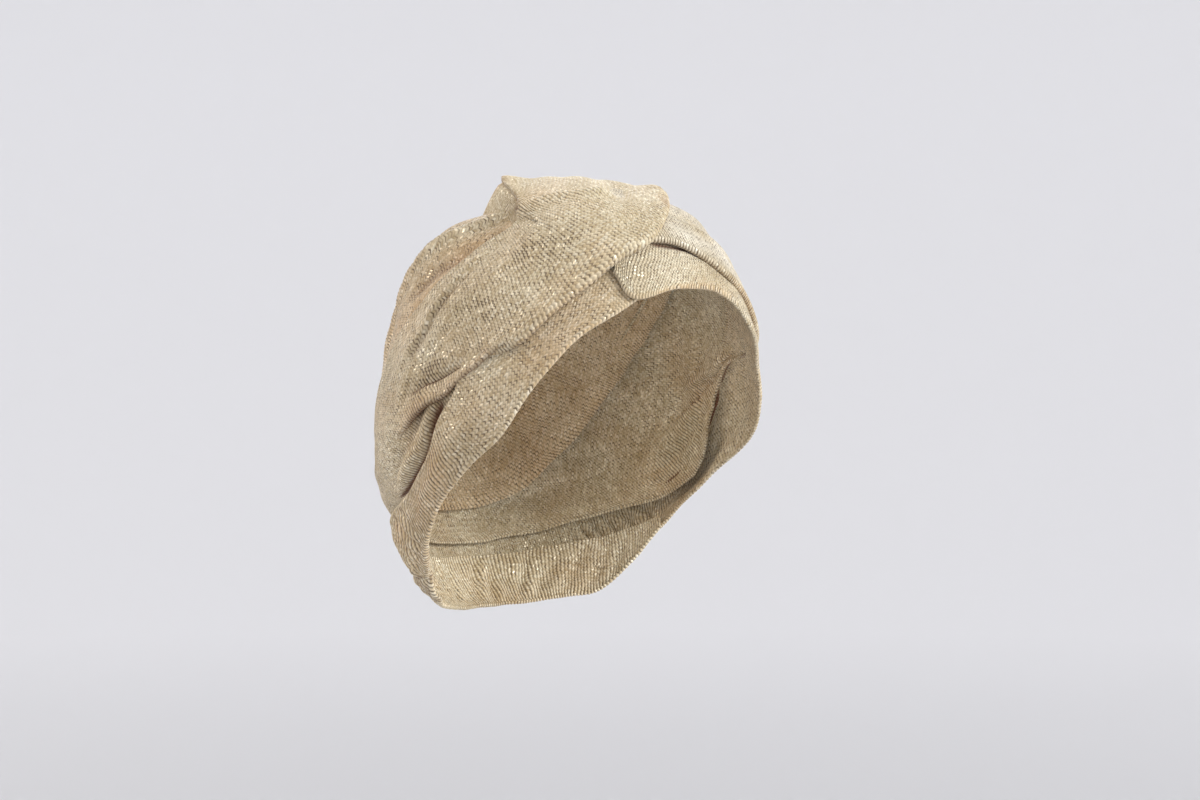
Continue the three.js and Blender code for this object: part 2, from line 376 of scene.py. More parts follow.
def double_cloth(surface, out, side_way, rise, stitch_u, v, marks):
    """Doubles the cloth into closed rings, one a station: outer face, high rim, inner face, low rim.
    The inner face has every second column and none of the painted shade."""
    half = DOUBLED_CLOTH / 2
    last = surface.shape[1] - 1
    inner_columns = [last] + list(range(last - 1 - last % 2, 0, -2)) + [0]
    rings, rings_u, rings_v, rings_marks = [], [], [], []

    def add(column, away, at_v, sideways=0.0, shaded=1):
        rings.append(surface[:, column] + (away * out[:, column].T).T + (sideways * side_way[:, column].T).T)
        rings_u.append(stitch_u[:, column])
        rings_v.append(at_v)
        rings_marks.append((marks["rib"][:, column], marks["loose"][:, column], marks["tint_and_painted_light"][:, column],
                            shaded * marks["painted_shade"][:, column]))

    def add_rim(column, way, at_v):
        thick = half + rise[:, column]
        for turn in (math.pi * (k + 1) / (RIM_STEPS + 1) for k in range(RIM_STEPS)):
            add(column, way * thick * math.cos(turn), at_v + half * turn, way * thick * math.sin(turn))

    for column in range(last + 1):
        add(column, half + rise[:, column], v[:, column])
    add_rim(last, 1, v[:, last])
    beyond = v[:, last] + half * math.pi
    for column in inner_columns:
        add(column, -half - rise[:, column], beyond + v[:, last] - v[:, column], shaded=0)
    beyond = beyond + v[:, last]
    add_rim(0, -1, beyond)
    add(0, half + rise[:, 0], beyond + half * math.pi)

    # the two ends close on the middle of the cloth, at the columns that both faces have
    closing = [column if column in inner_columns else column + 1 for column in range(last + 1)]
    order = closing + [last] * RIM_STEPS + inner_columns + [0] * (RIM_STEPS + 1)
    places = np.concatenate([surface[:1, order], np.stack(rings, 1), surface[-1:, order]]) * MM
    uv = np.stack([np.stack(rings_u, 1), np.stack(rings_v, 1)], -1)
    marked = np.stack([np.stack(mark, -1) for mark in rings_marks], 1)
    uv = np.concatenate([uv[:1], uv, uv[-1:]])
    marked = np.concatenate([marked[:1], marked, marked[-1:]])
    return places, uv, marked


def sew_mesh(name, places, uv, marked):
    """Makes the piece's mesh from its rings, with the map of its stitches and its marks."""
    n_along, n_round = places.shape[:2]
    bm = bmesh.new()
    bmesh.ops.create_grid(bm, x_segments=n_round - 1, y_segments=n_along - 1, size=1)
    uv_layer = bm.loops.layers.uv.new("stitches")
    mark_layer = bm.verts.layers.float_color.new("marks")
    # painted shade, kept apart from the marks: creases, tucks, rolled edges and troughs darkened where
    # little light reaches
    painted_shade_layer = bm.verts.layers.float.new("painted_shade")
    places = places.reshape(-1, 3).tolist()
    uv = uv.reshape(-1, 2).tolist()
    marked = marked.reshape(-1, 4).tolist()
    for vert in bm.verts:
        vert.co = places[vert.index]
        vert[mark_layer] = (*marked[vert.index][:3], 1.0)
        vert[painted_shade_layer] = marked[vert.index][3]
    for face in bm.faces:
        face.smooth = True
        for loop in face.loops:
            loop[uv_layer].uv = uv[loop.vert.index]

    # the two closed ends meet the faces in a hard corner
    bm.verts.ensure_lookup_table()
    for station in (1, n_along - 2):
        corner = set(range(station * n_round, (station + 1) * n_round))
        for k in corner:
            for edge in bm.verts[k].link_edges:
                if edge.verts[0].index in corner and edge.verts[1].index in corner:
                    edge.smooth = False
    bmesh.ops.remove_doubles(bm, verts=bm.verts, dist=WELD)
    bmesh.ops.recalc_face_normals(bm, faces=bm.faces)
    mesh = bpy.data.meshes.new(name)
    bm.to_mesh(mesh)
    bm.free()
    piece = bpy.data.objects.new(name, mesh)
    bpy.context.scene.collection.objects.link(piece)
    return piece


def lay_cloth(name, rows, side, columns, lips, folds=(), tucks=(), gathers=(), patches=(),
              ripple=0.35, seed=1, tint_and_painted_light=0.0, from_nape=True, stretch=((0, 1.0),), edge_ribs=0.55):
    """One doubled cloth laid round the head, with its folds, tucks and rolled edges. It gives the
    piece and its flat size in metres, width and length.

    lips: (row, low radius, low turn, low tail, high radius, high turn, high tail), mm and degrees.
    folds: path, rise, wide=(mm to the low side, mm to the high side).
    tucks: path, depth, rise, reach. top is the side whose cloth lies on top, the high one if unsaid.
    Folds and tucks may also say how much they add to the marks: rib; shade, which is painted shade;
    and for a tuck its tint, which is partly painted light. A fold's dark is the width of its painted
    shade in mm, and fade is the rows in which either comes and goes.
    gathers: path of rows, length, rise, slant. patches: kind, at, size, amount.
    stretch: (row, how far apart the rows of stitches are pulled, 1 being unstretched).
    """
    cloth = spread_stations(rows, side, from_nape, stretch, lips)
    lay_tucks(cloth, tucks)
    f = spread_columns(cloth, columns, folds)
    y, h, marks = fold_tucks(cloth, f, tint_and_painted_light)
    h = raise_folds(cloth, f, y, h, marks, folds, gathers, patches, ripple, seed)
    y, h, v = roll_edges(cloth, f, y, h, marks, seed)
    surface = place(cloth.stood, y / cloth.width, h)
    out, side_way = outward(surface, from_nape)
    if from_nape:
        surface[0, :, 0] = 0
    stitch_u, rise = knit_rows(cloth, y, v, marks, patches, edge_ribs, seed)
    piece = sew_mesh(name, *double_cloth(surface, out, side_way, rise, stitch_u, v, marks))
    return piece, (float(v[:, -1].mean()) * MM, float(cloth.u[-1, 0]) * MM)


def shade(hex_colour):
    """An sRGB hex colour as linear light."""
    parts = [int(hex_colour[k:k + 2], 16) / 255 for k in (1, 3, 5)]
    return (*[p / 12.92 if p <= 0.04045 else ((p + 0.055) / 1.055) ** 2.4 for p in parts], 1.0)


def add_node(material, kind, inputs=None, **settings):
    """Adds a node with its settings. Inputs are values or the output sockets of other nodes."""
    tree = material.node_tree
    node = tree.nodes.new(kind)
    for key, value in settings.items():
        setattr(node, key, value)
    for key, value in (inputs or {}).items():
        if isinstance(value, bpy.types.NodeSocket):
            tree.links.new(value, node.inputs[key])
        else:
            node.inputs[key].default_value = value
    return node


CLOUDS_A_METRE = 45.0                    # duller clouds in the yarn, about 22 mm across
DRIFTS_A_METRE = 26.0                    # drifts of warmer yarn, about 38 mm across
STITCH_RELIEF = 0.0005                   # m, how far the bump lets a single stitch stand out


def champagne_jersey():
    """Metallic jersey: a flat metallic thread knitted with a matt champagne yarn. The eye sees rows
    of small stitches with dark grooves between them, and single stitches that catch the light. The
    grooves are darkened with painted shade, the palest stitches are painted glints beside the
    metallic ones, and creases, tucks and rolled edges get a brown painted shade."""
    jersey = bpy.data.materials.new("champagne_metallic_jersey")
    jersey.use_nodes = True
    jersey.node_tree.nodes.clear()

    def maths(operation, *values):
        node = add_node(jersey, "ShaderNodeMath", dict(enumerate(values)), operation=operation)
        return node.outputs[0]

    def blend(share, a, b, kind="MIX"):
        # 0, 6 and 7 are the share and the two colours of a Mix node, and 2 is the colour it gives
        node = add_node(jersey, "ShaderNodeMix", data_type="RGBA", blend_type=kind)
        for index, value in ((0, share), (6, a), (7, b)):
            if isinstance(value, bpy.types.NodeSocket):
                jersey.node_tree.links.new(value, node.inputs[index])
            else:
                node.inputs[index].default_value = value
        return node.outputs[2]

    uv = add_node(jersey, "ShaderNodeUVMap", uv_map="stitches").outputs["UV"]
    split = add_node(jersey, "ShaderNodeSeparateXYZ", {"Vector": uv})
    u, v = split.outputs["X"], split.outputs["Y"]
    marks = add_node(jersey, "ShaderNodeAttribute", attribute_name="marks")
    parts = add_node(jersey, "ShaderNodeSeparateColor", {"Color": marks.outputs["Color"]})
    rib, loose, tint_and_painted_light = parts.outputs["Red"], parts.outputs["Green"], parts.outputs["Blue"]
    painted_shade = add_node(jersey, "ShaderNodeAttribute", attribute_name="painted_shade").outputs["Fac"]

    # columns of stitches lean into a V on either side of each wale
    leg = maths("ABSOLUTE", maths("SUBTRACT", maths("FRACT", maths("DIVIDE", v, WALE)), 0.5))
    lean = maths("MULTIPLY", leg, maths("SUBTRACT", 2.0, maths("MULTIPLY", rib, 1.7)))
    course = maths("ADD", u, maths("DIVIDE", lean, COURSE))
    wave = maths("COSINE", maths("MULTIPLY", course, math.tau))
    ridge = maths("ADD", maths("MULTIPLY", wave, 0.5), 0.5)

    def chance(size, shift):
        spot = add_node(jersey, "ShaderNodeCombineXYZ", {
            "X": maths("FLOOR", maths("ADD", course, shift)),
            "Y": maths("FLOOR", maths("DIVIDE", v, size))})
        noise = add_node(jersey, "ShaderNodeTexWhiteNoise", {"Vector": spot.outputs[0]},
                         noise_dimensions="2D")
        return noise.outputs["Value"]

    # each leg of a stitch has its own luck, and so has each gap between two rows
    luck = chance(WALE / 2, 0.5)
    gap_luck = chance(WALE, 0.0)

    cloth = add_node(jersey, "ShaderNodeTexCoord").outputs["Object"]
    clouds = add_node(jersey, "ShaderNodeTexNoise", {
        "Vector": cloth, "Scale": CLOUDS_A_METRE, "Detail": 3.0})
    drifts = add_node(jersey, "ShaderNodeTexNoise", {
        "Vector": cloth, "Scale": DRIFTS_A_METRE, "Detail": 2.0})

    # yarn colour: from a duller stitch to a bright one, at random; the near-white end of the ramp is a
    # painted glint on the luckiest stitches, which also get the real metallic glint below
    yarn = add_node(jersey, "ShaderNodeValToRGB", {"Fac": luck})
    ramp = yarn.color_ramp
    ramp.elements[0].position, ramp.elements[0].color = 0.0, shade("#C2B08D")
    ramp.elements[1].position, ramp.elements[1].color = 1.0, shade("#FFF6DE")
    for place_at, colour in ((0.4, "#D6C7A8"), (0.8, "#E4D8BC"), (0.93, "#EFE6CF")):
        ramp.elements.new(place_at).color = shade(colour)

    # the cloth's tint, from its mark and the drifts. The mark is partly the yarn's own warmer or cooler tone
    # and partly painted light: warm brown stands in for shade in hollows and at tips, and where the mark is
    # below 0 a silvery painted highlight lies where the lights fall full on the cloth
    drift = add_node(jersey, "ShaderNodeMapRange", {
        "Value": drifts.outputs[0], "From Min": 0.42, "From Max": 0.68, "To Max": 0.3})
    painted_silver_highlight = maths("MAXIMUM", maths("MULTIPLY", tint_and_painted_light, -1.0), 0.0)
    tint_and_painted_light = maths("MINIMUM", maths("MAXIMUM", maths("ADD", tint_and_painted_light, drift.outputs[0]), 0.0), 1.0)
    colour = blend(tint_and_painted_light, yarn.outputs[0], blend(0.6, yarn.outputs[0], shade("#E6BA8A")))
    colour = blend(painted_silver_highlight, colour, blend(0.6, colour, shade("#F8F2E4")))
    cloudy = add_node(jersey, "ShaderNodeMapRange", {
        "Value": clouds.outputs[0], "From Min": 0.35, "From Max": 0.65})
    colour = blend(maths("MULTIPLY", cloudy.outputs[0], 0.4), colour, shade("#C3B391"), "MULTIPLY")

    # dark grooves between the rows, broken up stitch by stitch, and open holes where the knit is loose:
    # painted shade, standing in for the shadow each row casts into its groove and into the holes, with
    # darker lines between the columns too
    groove = maths("POWER", maths("SUBTRACT", 1.0, ridge), 2.2)
    within = maths("SUBTRACT", 1.0, maths("POWER", maths("MULTIPLY", leg, 2.0), 3.0))
    broken = maths("MULTIPLY", maths("MULTIPLY", maths("POWER", gap_luck, 1.8), 1.2), within)
    broken = maths("MULTIPLY", broken, maths("SUBTRACT", 1.0, maths("MULTIPLY", rib, 0.6)))
    depth = maths("ADD", maths("ADD", 0.06, maths("MULTIPLY", rib, 0.62)), broken)
    hole = maths("MULTIPLY", maths("MULTIPLY", loose, maths("GREATER_THAN", gap_luck, 0.5)), within)
    dark = maths("MULTIPLY", groove, maths("ADD", depth, maths("MULTIPLY", hole, 1.5)))
    dark = maths("ADD", dark, maths("MULTIPLY", hole, 0.15))
    between = maths("MULTIPLY", maths("POWER", maths("MULTIPLY", leg, 2.0), 4.0),
                    maths("MULTIPLY", maths("SUBTRACT", 1.0, rib), 0.3))
    dark = maths("MINIMUM", maths("ADD", dark, between), 0.95)
    colour = blend(dark, colour, shade("#61503A"))
    # painted shade: a dark brown where the cloth lies in creases, tucks, rolled edges and troughs
    colour = blend(maths("MULTIPLY", painted_shade, 0.92), colour, shade("#5C3010"))

    height = maths("ADD", maths("MULTIPLY", ridge, 0.8), maths("MULTIPLY", luck, 0.35))
    bump = add_node(jersey, "ShaderNodeBump", {
        "Strength": 0.6, "Distance": STITCH_RELIEF, "Height": height})

    # the luckiest stitches show bare metallic thread
    glinting = add_node(jersey, "ShaderNodeMapRange", {"Value": luck, "From Min": 0.8, "From Max": 0.98})
    glint = glinting.outputs[0]
    yarn_skin = add_node(jersey, "ShaderNodeBsdfPrincipled", {
        "Base Color": colour,
        "Metallic": maths("MULTIPLY", glint, 0.55),
        "Roughness": maths("SUBTRACT", 0.62, maths("MULTIPLY", glint, 0.26)),
        "Normal": bump.outputs[0]})
    yarn_skin.inputs["Sheen Weight"].default_value = 0.25
    yarn_skin.inputs["Sheen Roughness"].default_value = 0.4
    yarn_skin.inputs["Specular IOR Level"].default_value = 0.4
    add_node(jersey, "ShaderNodeOutputMaterial", {"Surface": yarn_skin.outputs[0]})
    return jersey


jersey = champagne_jersey()


def dress(piece, node):
    """Gives a cloth its jersey and its place in the frame, and hides the part of the model that it stands
    for.
    """
    piece.data.materials.append(jersey)
    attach(piece, "root")
    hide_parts(node)


# what both upper wraps have by the ear: a roll that hides a tuck, and the creases and ridges by it. The
# tuck, the crease, the crevice and the valley carry painted shade along them
ROLL_BY_THE_EAR = dict(
    path=[(3.6, 0.42), (4.17, 0.34), (4.96, 0.165), (5.5, 0.075), (5.9, 0.02), (6.5, -0.02),
          (7.2, -0.04), (8.0, -0.05)],
    depth=4.2, rise=3.1, reach=6.0, fade=1.1, rib=0.1, tint_and_painted_light=0.3)
ROLL_CREASE = dict(
    path=[(4.5, 0.42), (5.06, 0.34), (5.53, 0.25), (5.99, 0.185), (6.46, 0.11), (6.84, 0.06), (7.5, 0.03)],
    rise=-2.0, wide=(1.2, 3.0), fade=0.7, shade=1.3, dark=0.75)
CREVICE = dict(
    path=[(2.6, 0.2), (3.0, 0.185), (3.51, 0.14), (3.93, 0.128), (4.54, 0.08), (5.06, 0.068), (5.62, 0.07)],
    rise=-1.4, wide=(2.0, 1.6), fade=0.35, shade=1.9, dark=1.3)
ROLL_BELOW = dict(
    path=[(2.9, 0.26), (3.5, 0.22), (3.93, 0.2), (4.49, 0.15), (5.0, 0.13), (5.6, 0.1)],
    rise=2.2, wide=(3.0, 4.0), fade=0.5)
VALLEY_BELOW = dict(
    path=[(2.9, 0.31), (3.42, 0.31), (3.75, 0.3), (4.21, 0.28), (4.7, 0.25), (5.2, 0.2)],
    rise=-1.0, wide=(3, 4), fade=0.5, shade=0.15, dark=2.5)
RIBS_BELOW = dict(kind="rib", at=(4.2, 0.18), size=(26, 9), amount=1.0)

right_upper_wrap, flat = lay_cloth(
    "right_upper_wrap_cloth", RIGHT_UPPER_WRAP, RIGHT, columns=68,
    stretch=[(0, 0.85), (2.5, 0.85), (5, 1.02), (14, 1.06)],
    lips=[(0, 0.9, 60, 0, 1.5, 60, 0), (3, 0.9, 60, 0, 3, 70, 0), (3.7, 0.9, 20, 5, 3, 74, 0.2),
          (5.6, 0.9, 20, 5, 3, 80, 0.7), (6.3, 0.9, 60, 0, 3.1, 83, 1), (6.8, 0.9, 60, 0, 3.2, 85, 1),
          (7.9, 1.5, 160, 1, 3.2, 95, 1), (9.0, 2.0, 165, 2, 2.2, 95, 1), (9.8, 2.3, 165, 2, 1.4, 60, 8),
          (10.8, 2.0, 150, 2, 1.2, 40, 17), (11.6, 1.4, 110, 1, 1.2, 38, 19),
          (12.3, 1.4, 110, 1, 1.2, 36, 21), (13.2, 1.6, 120, 1, 1.2, 36, 16), (14, 2.0, 100, 1, 1.5, 60, 5)],
    tucks=[ROLL_BY_THE_EAR,
           # the fold on top of the head, with painted shade inside it
           dict(path=[(9.3, 0.97), (10.5, 0.97), (12.0, 0.97), (13.6, 0.97)], depth=3.0, rise=2.8, reach=6,
                top="low", fade=0.35, shade=0.4)],
    folds=[ROLL_CREASE,
           dict(path=[(4.6, 0.6), (5.1, 0.63), (5.8, 0.63), (6.6, 0.73), (7.1, 0.8), (8.2, 0.9)],
                rise=1.8, wide=(2.2, 1.7), rib=0.03),
           # a valley beside that ridge, with painted shade along it
           dict(path=[(4.9, 0.57), (5.5, 0.575), (6.2, 0.63), (7.0, 0.72), (7.8, 0.8)],
                rise=-1.0, wide=(2.2, 1.7), rib=0.03, shade=0.25, dark=1.2),
           dict(path=[(4.0, 0.5), (5.4, 0.5), (6.8, 0.52), (8.4, 0.62), (9.6, 0.75)],
                rise=1.1, wide=(3.2, 2.0), rib=0.05),
           dict(path=[(6.2, 0.3), (7.6, 0.25), (9.2, 0.2), (10.6, 0.16), (11.8, 0.12)],
                rise=-0.8, wide=(4, 3)),
           CREVICE, ROLL_BELOW, VALLEY_BELOW,
           dict(path=[(9.0, 1.04), (9.41, 0.98), (10.21, 0.84), (10.91, 0.64), (11.42, 0.47), (12.1, 0.28)],
                rise=2.4, wide=(6, 1.8), fade=0.5)],
    patches=[dict(kind="rib", at=(8.6, 0.45), size=(40, 12), amount=0.35),
             # loose patches: looser knit, whose open holes the material darkens with painted shade
             dict(kind="loose", at=(8.71, 0.57), size=(7, 4), amount=1.2),
             dict(kind="loose", at=(9.22, 0.41), size=(6, 4), amount=0.8),
             dict(kind="loose", at=(7.5, 0.4), size=(5, 5), amount=0.8),
             dict(kind="loose", at=(5.81, 0.33), size=(7, 3), amount=1.0),
             dict(kind="loose", at=(5.2, 0.32), size=(6, 3), amount=1.0),
             RIBS_BELOW,
             dict(kind="raise", at=(12.3, 0.29), size=(12, 7), amount=-4.2),
             dict(kind="raise", at=(12.95, 0.05), size=(9, 5), amount=3.2),
             dict(kind="raise", at=(12.7, 0.92), size=(14, 9), amount=2.0),
             # painted shade at the tip of the fold: a brown tint in its curl and a dark line under it
             dict(kind="tint_and_painted_light", at=(12.8, 1.0), size=(5, 4), amount=1.0),
             dict(kind="painted_shade", at=(12.6, 1.0), size=(3, 2), amount=0.4),
             dict(kind="painted_shade", at=(9.95, 0.985), size=(4, 1.6), amount=0.7),
             dict(kind="loose", at=(12.1, 0.04), size=(8, 4), amount=0.9),
             # painted shade, brown, in the small curl by the ear
             dict(kind="tint_and_painted_light", at=(12.45, 0.03), size=(5, 3), amount=0.4),
             dict(kind="painted_shade", at=(12.45, 0.02), size=(3.5, 1.6), amount=0.5)],
    seed=11)
dress(right_upper_wrap, "right_upper_wrap")

# ---------------------------------------------------------------------------------------------
# The left upper wrap. It is the same leg of the other loop: the same doubled jersey, which passes
# under the right wrap's fold and ends inside the knot.

LEFT_UPPER_WRAP = UPPER_WRAP_SIDE + [
    (52, 24.5, 86.5, 57, 5.6, 6.4, 6.8),
    (33, 36.5, 76, 68, 6.0, 8.6, 7.2),
    (17, 42.0, 68, 76, 7.4, 8.6, 7.4),
    (-1.5, 50.2, 0, 82, 8.2, 7.8, 7.2),
    (-24, 51, -50, 72, 7.4, 7.4, 7.2),
]
left_upper_wrap, flat = lay_cloth(
    "left_upper_wrap_cloth", LEFT_UPPER_WRAP, LEFT, columns=68,
    stretch=[(0, 0.85), (2.5, 0.85), (5, 1.0), (8, 0.95), (9.5, 0.85), (12, 0.85)],
    lips=[(0, 0.9, 60, 0, 1.5, 60, 0), (3, 0.9, 60, 0, 3, 70, 0), (3.7, 0.9, 20, 5, 3.2, 70, 0.2),
          (5.6, 0.9, 20, 5, 3.7, 70, 0.7), (6.3, 0.9, 60, 0, 4, 70, 1), (6.8, 0.9, 60, 0, 4, 70, 1),
          (7.9, 1.1, 150, 0.5, 4, 70, 1), (9.5, 1.0, 165, 1, 3, 75, 1.5), (12, 1.1, 130, 1, 2.0, 80, 1)],
    tucks=[ROLL_BY_THE_EAR],
    folds=[ROLL_CREASE, CREVICE, ROLL_BELOW, VALLEY_BELOW,
           dict(path=[(4.2, 0.66), (5.4, 0.6), (6.8, 0.66), (8.4, 0.8)], rise=0.9, wide=(2.4, 2.0)),
           dict(path=[(7.0, 0.4), (8.2, 0.36), (9.4, 0.3), (10.8, 0.3)], rise=1.1, wide=(3, 2.6))],
    patches=[RIBS_BELOW,
             dict(kind="raise", at=(9.75, 0.58), size=(9, 9), amount=2.0),
             # painted highlights: silvery where the key light falls full on the wrap, and a small peach one
             # on its upper outline
             dict(kind="tint_and_painted_light", at=(10.0, 0.3), size=(48, 36), amount=-1.1),
             dict(kind="tint_and_painted_light", at=(10.15, 0.33), size=(9, 6), amount=1.35),
             dict(kind="tint_and_painted_light", at=(9.2, 0.0), size=(20, 2.5), amount=1.1)],
    seed=23)
dress(left_upper_wrap, "left_upper_wrap")

# ---------------------------------------------------------------------------------------------
# The two lower bands. They are the narrow lower legs of the loops, the same doubled jersey pulled
# tight along the hairline. The left one crosses the right one over the forehead.

LOWER_BAND_SIDE = [
    (180, -42, 180, -32, 4.9, 6.0, 5.3),
    (146, -42, 151, -30, 4.9, 6.0, 5.3),
    (121, -45, 130, -26, 5.6, 7.2, 6.4),
    (105.5, -33.5, 107, -19.3, 3.6, 5.8, 5.4),
    (92, -22.5, 94, -9.3, 1.8, 5.6, 5.6),
    (79, -12, 87.6, 1.9, 1.5, 5.0, 5.4),
    (66, -2.5, 81.4, 12.1, 1.5, 4.2, 4.6),
    (57, 8.5, 76.5, 24.6, 1.5, 3.0, 4.2),
    (47, 21, 64, 34, 1.5, 2.2, 2.2),
]
RIGHT_LOWER_BAND = LOWER_BAND_SIDE + [
    (32.5, 31, 52, 45.5, 1.5, 1.8, 1.6),
    (21.5, 36.0, 37.5, 53, 1.5, 1.8, 1.6),
    (8, 41, 22, 57, 1.5, 1.8, 1.6),
]
LEFT_LOWER_BAND = LOWER_BAND_SIDE[:5] + [
    (79, -12, 87.6, 1.9, 4.0, 5.6, 5.4),
    (66, -2.5, 81.4, 12.1, 6.0, 5.6, 4.6),
    (57, 8.5, 76.0, 24.4, 5.0, 4.2, 3.6),
    (47, 21, 64, 34, 2.4, 2.4, 2.2),
    (28.5, 29, 51.5, 44.5, 2.6, 3.6, 3.6),
    (14, 36.2, 35, 50, 4.0, 4.6, 4.4),
    (-6, 37.9, 12.5, 52, 4.4, 4.7, 4.4),
    (-22, 35.8, -8, 55.5, 4.5, 4.7, 4.5),
    (-27, 43.5, -21.5, 59.5, 4.5, 4.5, 4.5),
]
BAND_LIPS = [(0, 1.0, 90, 0, 0.9, 60, 0), (2.6, 1.4, 110, 0, 1.0, 60, 0), (3.2, 1.0, 80, 0, 1.5, 160, 1.0),
             (5.8, 0.9, 75, 0, 1.4, 160, 1.0), (6.8, 0.9, 75, 0, 1.0, 60, 0), (12, 0.9, 80, 0, 0.9, 60, 0)]
BAND_FOLDS = [
    dict(path=[(3.2, 0.5), (4.5, 0.5), (5.8, 0.45), (7.0, 0.42), (8.0, 0.4)], rise=0.9, wide=(5, 5)),
    dict(path=[(4.2, 0.2), (5.8, 0.2), (7.2, 0.16)], rise=-0.6, wide=(2.5, 2.5)),
]
# painted shadow along the band where it runs under the edge of the left wrap
BAND_UNDER_WRAP = dict(
    path=[(9.8, 0.33), (9.96, 0.35), (10.43, 0.53), (10.83, 0.73), (11.3, 0.78), (12.13, 0.78)],
    rise=-0.8, wide=(2, 2), fade=0.5, shade=1.3, dark=1.4)
# gathers at the nape, with painted shade in their troughs
BAND_GATHERS = [dict(rows=(1.2, 3.1), length=7.0, rise=1.1, slant=0.45, shade=0.45)]
NAPE_RIBS = dict(kind="rib", at=(2.8, 0.4), size=(26, 16), amount=0.7)
right_lower_band, flat = lay_cloth(
    "right_lower_band_cloth", RIGHT_LOWER_BAND, RIGHT, columns=44, lips=BAND_LIPS, folds=BAND_FOLDS,
    gathers=BAND_GATHERS, seed=31, ripple=0.2, edge_ribs=0.15,
    stretch=[(0, 0.8), (1.8, 0.85), (3.0, 1.15), (4.5, 1.25), (11, 1.25)],
    patches=[dict(kind="tint_and_painted_light", at=(7.6, 0.25), size=(40, 9), amount=0.2),
             dict(kind="rib", at=(8.8, 0.5), size=(36, 22), amount=-0.3),
             dict(kind="tint_and_painted_light", at=(8.15, 0.2), size=(18, 12), amount=0.15),
             dict(kind="rib", at=(9.8, 0.4), size=(13, 18), amount=0.3),
             dict(kind="tint_and_painted_light", at=(9.7, 0.4), size=(12, 16), amount=0.15),
             dict(kind="tint_and_painted_light", at=(4.2, 0.4), size=(18, 12), amount=0.6),
             dict(kind="rib", at=(4.6, 0.35), size=(20, 14), amount=0.45),
             dict(kind="tint_and_painted_light", at=(3.3, 0.4), size=(12, 10), amount=0.35),
             dict(kind="tint_and_painted_light", at=(2.3, 0.7), size=(8, 6), amount=0.6),
             NAPE_RIBS])
dress(right_lower_band, "right_lower_band")
left_lower_band, flat = lay_cloth(
    "left_lower_band_cloth", LEFT_LOWER_BAND, LEFT, columns=42, lips=BAND_LIPS,
    folds=BAND_FOLDS + [BAND_UNDER_WRAP], gathers=BAND_GATHERS, seed=37, ripple=0.2, edge_ribs=0.15,
    stretch=[(0, 0.8), (2.8, 0.8), (4.5, 1.1), (8, 1.1), (10, 0.9), (13, 0.9)],
    patches=[NAPE_RIBS,
             # a silvery painted highlight where the key light falls full on the band
             dict(kind="tint_and_painted_light", at=(11.6, 0.5), size=(28, 30), amount=-0.35),
             dict(kind="tint_and_painted_light", at=(11.2, 0.0), size=(24, 1.8), amount=0.5),
             dict(kind="rib", at=(12.2, 0.4), size=(9, 16), amount=0.2)])
dress(left_lower_band, "left_lower_band")

# ---------------------------------------------------------------------------------------------
# The two back panels. They are the fullness of each loop behind the ear, the same doubled jersey,
# and puff out between the upper wrap and the rim of the open crown.

BACK_PANEL = [
    (180, -24, 180, -9, 1.6, 4.0, 3.5),
    (159, -20.5, 173, -5, 1.6, 5.0, 3.5),
    (145.5, -10.5, 170, 2, 1.6, 6.5, 3.5),
    (133, 4, 166, 14, 1.6, 4.6, 4.0),
    (122, 18.5, 161, 32, 1.6, 4.9, 4.5),
    (110, 32, 155, 50, 1.6, 9.0, 6.0),
    (98, 42.5, 150, 61.5, 1.6, 11.0, 6.0),
    (83, 51.5, 147, 70, 1.6, 5.5, 4.0),
    (65, 60, 145, 77.5, 1.6, 3.0, 3.0),
]
LEFT_BACK_PANEL = BACK_PANEL + [(42, 66, 90, 88, 1.6, 2.2, 2.2)]
PANEL_LIPS = [(0, 0.9, 60, 0, 1.6, 140, 1), (9, 0.9, 60, 0, 1.6, 140, 1)]
PANEL_FOLDS = [
    dict(path=[(2.0, 0.7), (4.0, 0.6), (5.4, 0.5), (6.31, 0.42), (6.82, 0.46), (7.38, 0.45), (8.0, 0.4)],
         rise=3.4, wide=(2.0, 2.8), rib=0.08),
    # the valley below the ridge, with painted shade along it
    dict(path=[(4.6, 0.36), (5.4, 0.3), (6.2, 0.25), (6.9, 0.22), (7.8, 0.22)],
         rise=-2.8, wide=(4, 4), rib=0.12, shade=0.4, dark=2.6),
    dict(path=[(1.6, 0.45), (3.6, 0.5), (5.6, 0.7)], rise=-1.0, wide=(3, 3)),
]
# painted light on the panels: a pale painted highlight along the ridge, a warm painted shade in the valley
# below it
PANEL_TONES = [
    dict(kind="tint_and_painted_light", at=(6.7, 0.47), size=(32, 6), amount=-0.6),
    dict(kind="tint_and_painted_light", at=(6.9, 0.22), size=(26, 6), amount=0.4),
    dict(kind="rib", at=(6.4, 0.5), size=(45, 30), amount=-0.4),
]
right_back_panel, flat = lay_cloth(
    "right_back_panel_cloth", BACK_PANEL, RIGHT, columns=54, lips=PANEL_LIPS, folds=PANEL_FOLDS,
    patches=PANEL_TONES, seed=41, tint_and_painted_light=0.4)
dress(right_back_panel, "right_back_panel")
left_back_panel, flat = lay_cloth(
    "left_back_panel_cloth", LEFT_BACK_PANEL, LEFT, columns=48, lips=PANEL_LIPS, folds=PANEL_FOLDS,
    patches=PANEL_TONES, seed=47, tint_and_painted_light=0.4)
dress(left_back_panel, "left_back_panel")

# ---------------------------------------------------------------------------------------------
# The nape fold. It is the slack of both loops, the same doubled jersey, folded up and hanging below
# the lower bands from behind one ear to behind the other.

